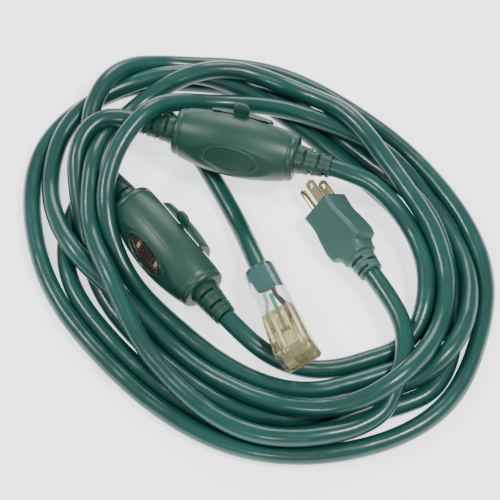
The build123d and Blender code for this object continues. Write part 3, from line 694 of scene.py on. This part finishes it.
def obstacles(upper, lower):
    """The housings and boots as bars along their axes: start, end, radius at the middle and
    at the ends."""
    bars = []
    for where in (upper, lower):
        centre, axis = where[:3, 3], where[:3, 0]
        bars.append((centre - axis * 40.5, centre + axis * 40.5, 21.6, 15.0))
        for side in (-1, 1):
            bars.append((centre + axis * side * 40.5, centre + axis * side * 63.5, 9.0, 9.0))
    return bars


def settle(cords, held, bars, diameter, step, rounds):
    """Lets the cables down on each other. In each round every free point sinks a little, leans
    back to its place in plan, is straightened by the fourth difference of its neighbours, and
    is then pushed clear of other cables, the bars and the floor."""
    p = np.vstack(cords)
    count = len(p)
    radius = diameter / 2
    cable = np.repeat(np.arange(len(cords)), [len(c) for c in cords])
    index = np.concatenate([np.arange(len(c)) for c in cords])
    free = ~np.concatenate(held)
    home = p.copy()
    inside = np.zeros(count, bool)
    inside[1:-1] = (cable[2:] == cable[1:-1]) & (cable[:-2] == cable[1:-1])
    wide = np.zeros(count, bool)
    wide[2:-2] = inside[1:-3] & inside[3:-1] & inside[2:-2]
    middle, broad = np.where(inside)[0], np.where(wide)[0]
    apart = int(np.ceil(diameter / step)) + 3
    first = second = None
    for turn in range(rounds):
        if turn % 10 == 0:
            gap = np.linalg.norm(p[:, None] - p[None], axis=2)
            near = (gap < diameter + 14) & (np.arange(count)[:, None] < np.arange(count)[None])
            near &= (cable[:, None] != cable[None]) | (np.abs(index[:, None] - index[None]) > apart)
            first, second = np.where(near)
        if turn < rounds * 0.75:
            p[free, 2] -= SINK
            p[free, :2] += LEAN_BACK * (home[free, :2] - p[free, :2])
        for _ in range(2):
            bend = np.zeros_like(p)
            bend[broad] = -(p[broad - 2] - 4 * p[broad - 1] + 6 * p[broad] - 4 * p[broad + 1]
                            + p[broad + 2]) / 16
            p[free] += STIFFNESS * bend[free]
        along = np.zeros_like(p)
        along[middle] = p[middle + 1] - p[middle - 1]
        along[middle] /= np.linalg.norm(along[middle], axis=1)[:, None]
        shift = np.zeros_like(p)
        shift[middle] = (p[middle + 1] + p[middle - 1]) / 2 - p[middle]
        p[free] += 0.3 * ((shift * along).sum(1)[:, None] * along)[free]
        for _ in range(3):
            between = p[first] - p[second]
            gap = np.linalg.norm(between, axis=1)
            hit = gap < diameter
            if hit.any():
                i, j = first[hit], second[hit]
                push = (diameter - gap[hit])[:, None] * between[hit]
                push = push / np.maximum(gap[hit], 1e-6)[:, None] / 2
                total, times = np.zeros_like(p), np.zeros(count)
                np.add.at(total, i, push)
                np.add.at(total, j, -push)
                np.add.at(times, i, 1)
                np.add.at(times, j, 1)
                touched = (times > 0) & free
                p[touched] += 1.2 * total[touched] / times[touched][:, None]
            for start, end, at_middle, at_ends in bars:
                axis = end - start
                length = np.linalg.norm(axis)
                axis = axis / length
                s = (p - start) @ axis
                nearest = start + np.clip(s, 0, length)[:, None] * axis
                off = p - nearest
                gap = np.linalg.norm(off, axis=1)
                u = np.clip(s / length * 2 - 1, -1, 1)
                clear = at_middle - (at_middle - at_ends) * u * u + radius
                inner = (gap < clear) & (s > -3) & (s < length + 3) & free
                p[inner] += off[inner] / gap[inner][:, None] * (clear - gap)[inner][:, None]
            p[free, 2] = np.maximum(p[free, 2], radius + 0.02)
    return np.split(p, np.cumsum([len(c) for c in cords])[:-1])


def cable_lines(diameter, step, rounds):
    """The three cables' centre lines, from housing to plug, housing to housing, and housing to
    connector, in millimetres."""
    upper = place(UPPER_AT, UPPER_HEADING, 0, HOUSING_ROLL)
    lower = place(LOWER_AT, LOWER_HEADING, 0, HOUSING_ROLL)
    tip = BODY_L / 2 + BOOT_L

    def out(where, side, distance):
        return where[:3, 3] + where[:3, 0] * side * (tip + distance)

    supply = np.vstack([SUPPLY_LEAD, on_oval(SUPPLY_FIRST_HOUR, SUPPLY_SHARES, SUPPLY_HEIGHTS),
                        out(upper, -1, 24), out(upper, -1, 0)])
    link = np.vstack([out(upper, 1, 0), out(upper, 1, 17), LINK_ROUTE, out(lower, 1, 12),
                      out(lower, 1, 0)])
    end = np.vstack([out(lower, -1, 0), out(lower, -1, 16), END_RISE,
                     on_oval(END_FIRST_HOUR, END_SHARES, END_HEIGHTS), END_LEAD])
    cords = [evenly(line, step) for line in (supply, link, end)]
    held = [np.zeros(len(line), bool) for line in cords]
    held[0][:18] = held[0][-3:] = True
    held[1][:4] = held[1][-4:] = True
    held[2][:3] = held[2][-28:] = True
    lines = settle(cords, held, obstacles(upper, lower), diameter, step, rounds)
    return lines[0][::-1], lines[1], lines[2]


def cable_piece(name, line, radius, nodes):
    """A round cable as one NURBS curve. About every third settled point is a control point."""
    points = line[np.linspace(0, len(line) - 1, len(line) // 3 + 1).round().astype(int)]
    curve = bpy.data.curves.new(name, "CURVE")
    curve.dimensions = "3D"
    spline = curve.splines.new("NURBS")
    spline.points.add(len(points) - 1)
    flat = np.column_stack([points * MM, np.ones(len(points))])
    spline.points.foreach_set("co", flat.ravel())
    spline.order_u = 3
    spline.use_endpoint_u = True
    spline.resolution_u = 8
    curve.bevel_depth = radius
    curve.bevel_resolution = 8
    curve.use_fill_caps = True
    curve.materials.append(materials()["cable_jacket"])
    piece = bpy.data.objects.new(name, curve)
    bpy.context.scene.collection.objects.link(piece)
    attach(piece, "root")
    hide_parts(*nodes)
    return piece


def length_of(line):
    return float(np.linalg.norm(np.diff(line, axis=0), axis=1).sum()) * MM


# ================================================================== operators
class CORD_OT_stage(bpy.types.Operator):
    """Adds the camera, the floor and the soft studio light"""

    bl_idname = "cord.stage"
    bl_label = "Stage"

    def execute(self, context):
        settings = context.scene.stage_settings
        view = settings.elevation
        target = np.array(VIEW_TARGET)
        back = np.array([0.0, -np.cos(view), np.sin(view)])
        camera = bpy.data.cameras.new("camera")
        camera.lens = SENSOR_MM * settings.distance / VIEW_WIDTH
        camera.clip_end = 50.0
        eye = bpy.data.objects.new("camera", camera)
        eye.location = target + back * settings.distance
        eye.rotation_euler = (np.pi / 2 - view, 0.0, 0.0)
        context.scene.collection.objects.link(eye)
        context.scene.camera = eye
        floor = bpy.data.meshes.new("floor")
        corners = ((-1, -1), (1, -1), (1, 1), (-1, 1))
        floor.from_pydata([(x * FLOOR_HALF, y * FLOOR_HALF, -FLOOR_DROP) for x, y in corners],
                          [], [(0, 1, 2, 3)])
        plain = Tree("floor")
        floor.materials.append(plain.set(
            Base_Color=rgba(settings.floor), Roughness=0.9, Specular_IOR_Level=0.1,
            Emission_Color=rgba(settings.floor), Emission_Strength=FLOOR_GLOW))
        ground = bpy.data.objects.new("floor", floor)
        context.scene.collection.objects.link(ground)
        for name, at, size, share in LIGHTS:
            lamp = bpy.data.lights.new(name, "AREA")
            lamp.shape = "SQUARE"
            lamp.size = size
            lamp.energy = settings.key * share
            box = bpy.data.objects.new(name, lamp)
            box.location = at
            away = Vector(at) - Vector(target)
            box.rotation_euler = away.to_track_quat("Z", "Y").to_euler()
            context.scene.collection.objects.link(box)
        world = bpy.data.worlds.new("studio")
        world.use_nodes = True
        sky = world.node_tree.nodes["Background"].inputs
        sky["Color"].default_value = rgba(SKY)
        sky["Strength"].default_value = SKY_STRENGTH
        context.scene.world = world
        return {"FINISHED"}


class CORD_OT_cables(bpy.types.Operator):
    """Adds the cable's three lengths, settled on each other in the coil"""

    bl_idname = "cord.cables"
    bl_label = "Cables"

    def execute(self, context):
        settings = context.scene.cord_settings
        diameter = settings.diameter / MM
        supply, link, end = cable_lines(diameter, settings.spacing / MM, settings.rounds)
        radius = settings.diameter / 2
        cable_piece("supply_cord", supply, radius, ("cord_coil", "supply_lead", "supply_tail"))
        cable_piece("link_cord", link, radius, ("link_head", "link_tail"))
        cable_piece("end_cord", end, radius, ("end_tail", "end_lead"))
        for name, line in (("supply_cord", supply), ("link_cord", link), ("end_cord", end)):
            bpy.data.objects[name]["length"] = length_of(line)
            bpy.data.objects[name]["exit"] = [float(v) * MM for v in line[0]]
        return {"FINISHED"}


class CORD_OT_housings(bpy.types.Operator):
    """Adds both outlet housings with their badge or window and boots"""

    bl_idname = "cord.housings"
    bl_label = "Outlet housings"

    def execute(self, context):
        seam = context.scene.housing_settings.seam / MM
        for prefix, at, heading in (("upper", UPPER_AT, UPPER_HEADING),
                                    ("lower", LOWER_AT, LOWER_HEADING)):
            where = place(at, heading, 0, HOUSING_ROLL)
            lugs = []
            for side in (-1, 1):
                lo, hi = sorted(side * x for x in LUG_SPAN)
                lugs.append(rod_surface(HINGE_R, lo, hi, *HINGE_AT))
                foot = pad_surface((hi - lo) / 2, 1.3, 0.4, 4.0, 0.2)
                lugs.append(foot + np.array([(lo + hi) / 2, HINGE_AT[0] + 0.3, OUTLET_FLAT + 0.4]))
            grids = [moved(g, where) for g in [housing_surface(seam, OVAL_SEATS[prefix])] + lugs]
            shell = mesh_piece(prefix + "_housing", grids, "housing_green", sharp=40)
            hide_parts(prefix + "_outlet_shell", prefix + "_panel_shell")
            for side, name in ((1, "right"), (-1, "left")):
                boot = boot_surface(BODY_L / 2, BOOT_L, BOOT_R, BOOT_RIBS) * np.array([side, side, 1])
                piece = mesh_piece(f"{prefix}_{name}_relief", [moved(boot, where)], "boot_green",
                                   sharp=30)
                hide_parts(f"{prefix}_{name}_boot")
            if prefix == "lower":
                lens = mesh_piece("lower_lens", [moved(oval_surface(0.5, 1.0), where)], "smoky_lens")
                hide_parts("lower_window")
                frames = mesh_piece("lower_lens_frames",
                                    [moved(bar, where) for bar in lens_frame_bars()],
                                    "circuit_board")
                frames.data.materials[0] = materials()["window_frames"]
            else:
                badge = mesh_piece("upper_badge", [moved(oval_surface(0.25, 1.0), where)],
                                   "housing_green")
                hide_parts("upper_blank_badge")
        return {"FINISHED"}


class CORD_OT_covers(bpy.types.Operator):
    """Adds the two flip covers with their finger tabs and hinge knuckles"""

    bl_idname = "cord.covers"
    bl_label = "Flip covers"

    def execute(self, context):
        root, high = 1.0 - COVER[1], OUTLET_FLAT + COVER_GAP + 1.4
        tab = pad_surface(*TAB) + np.array([0, root - 3.2, high])
        tab = turned(tab, TAB_LEAN, root, high)
        knuckle = rod_surface(HINGE_R, -KNUCKLE_HALF, KNUCKLE_HALF, *HINGE_AT)
        web = pad_surface(KNUCKLE_HALF, 1.8, 0.3, 2.0, 0.2)
        web = web + np.array([0, HINGE_AT[0] - 1.9, HINGE_AT[1] + 0.65])
        for prefix, at, heading in (("upper", UPPER_AT, UPPER_HEADING),
                                    ("lower", LOWER_AT, LOWER_HEADING)):
            where = place(at, heading, 0, HOUSING_ROLL)
            grids = [moved(g, where) for g in (cover_surface(), tab, knuckle, web)]
            cover = mesh_piece(prefix + "_cover", grids, "housing_green", prefix + "_cover")
            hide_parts(prefix + "_flip_cover")
        return {"FINISHED"}


class CORD_OT_plug(bpy.types.Operator):
    """Adds the plug's moulded body with its grip wings, its boot and its round pin"""

    bl_idname = "cord.plug"
    bl_label = "Plug"

    def execute(self, context):
        where = place(PLUG_AT, PLUG_HEADING, 0, PLUG_ROLL)
        body = mesh_piece("plug_moulding", [moved(tapered_box(plug_stations()), where)],
                          "plug_green", sharp=45)
        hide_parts("plug_body", "plug_bridge")
        relief = boot_surface(PLUG_L, PLUG_BOOT_L, PLUG_BOOT_R, PLUG_BOOT_RIBS)
        boot = mesh_piece("plug_relief", [moved(relief, where)], "plug_green", sharp=30)
        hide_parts("plug_boot")
        nose = [(GROUND_R - GROUND_R * np.cos(t) - GROUND_L, max(GROUND_R * np.sin(t), 0.001))
                for t in np.linspace(0, np.pi / 2, 10)]
        pin = lathe_surface(nose + [(2.0, GROUND_R), (2.0, 0.001)], 48, 0.0, GROUND_Z)
        piece = mesh_piece("plug_round_pin", [moved(pin, where)], "brass")
        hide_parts("plug_ground_pin")
        return {"FINISHED"}


class CORD_OT_connector(bpy.types.Operator):
    """Adds the clear end connector's outer body"""

    bl_idname = "cord.connector"
    bl_label = "Connector"

    def execute(self, context):
        where = place(CONN_AT, CONN_HEADING, CONN_RISE, CONN_ROLL)
        skin = mesh_piece("connector_skin", [moved(tapered_box(connector_stations()), where)],
                          "clear_plastic", sharp=50)
        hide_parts("connector_body", "connector_collar")
        return {"FINISHED"}


class CORD_OT_inside(bpy.types.Operator):
    """Gives the pieces carried over from the solid model their finish"""

    bl_idname = "cord.inside"
    bl_label = "Carried-over pieces"

    def execute(self, context):
        slots = {p["node"]: p["material_slot"] for p in frame["record"]["subparts"]}
        for name, node in frame["nodes"].items():
            node.data.materials.clear()
            covered = name == "connector_jacket_end"
            node.data.materials.append(materials()["jacket_inside" if covered else slots[name]])
        return {"FINISHED"}


class CORD_OT_declare(bpy.types.Operator):
    """Looks up each cable and the pieces on its plug or connector end; it sets nothing on them"""

    bl_idname = "cord.declare"
    bl_label = "Cable facts"

    def execute(self, context):
        find = bpy.data.objects.get
        shown = [n for n, o in frame["nodes"].items() if not o.hide_render]
        on_plug = ["plug_moulding", "plug_relief", "plug_round_pin"]
        on_plug += sorted(n for n in shown if n.startswith("plug_"))
        on_end = ["connector_skin"] + sorted(n for n in shown if n.startswith("connector_"))
        for name, far_end, lay, pieces in (("supply_cord", "plug", "coiled", on_plug),
                                           ("link_cord", "object", "loose", []),
                                           ("end_cord", "connector", "coiled", on_end)):
            cord = find(name)
            [find(p) for p in pieces]
        return {"FINISHED"}


class CORD_PT_panel(bpy.types.Panel):
    """Lists the steps that build the cord."""

    bl_idname = "CORD_PT_panel"
    bl_label = "Extension Cord"
    bl_space_type = "VIEW_3D"
    bl_region_type = "UI"
    bl_category = "Extension Cord"

    def draw(self, context):
        for operator in STEPS:
            self.layout.operator(operator.bl_idname)


SETTINGS = (CordSettings, HousingSettings, StageSettings)
STEPS = (CORD_OT_stage, CORD_OT_cables, CORD_OT_housings, CORD_OT_covers, CORD_OT_plug,
         CORD_OT_connector, CORD_OT_inside, CORD_OT_declare)


def register():
    for item in SETTINGS + STEPS + (CORD_PT_panel,):
        bpy.utils.register_class(item)
    scene = bpy.types.Scene
    scene.cord_settings = bpy.props.PointerProperty(type=CordSettings)
    scene.housing_settings = bpy.props.PointerProperty(type=HousingSettings)
    scene.stage_settings = bpy.props.PointerProperty(type=StageSettings)


def unregister():
    scene = bpy.types.Scene
    del scene.cord_settings, scene.housing_settings, scene.stage_settings
    for item in reversed(SETTINGS + STEPS + (CORD_PT_panel,)):
        bpy.utils.unregister_class(item)


def main():
    register()
    for step in STEPS:
        group, name = step.bl_idname.split(".")
        getattr(getattr(bpy.ops, group), name)()


if __name__ == "__main__":
    main()
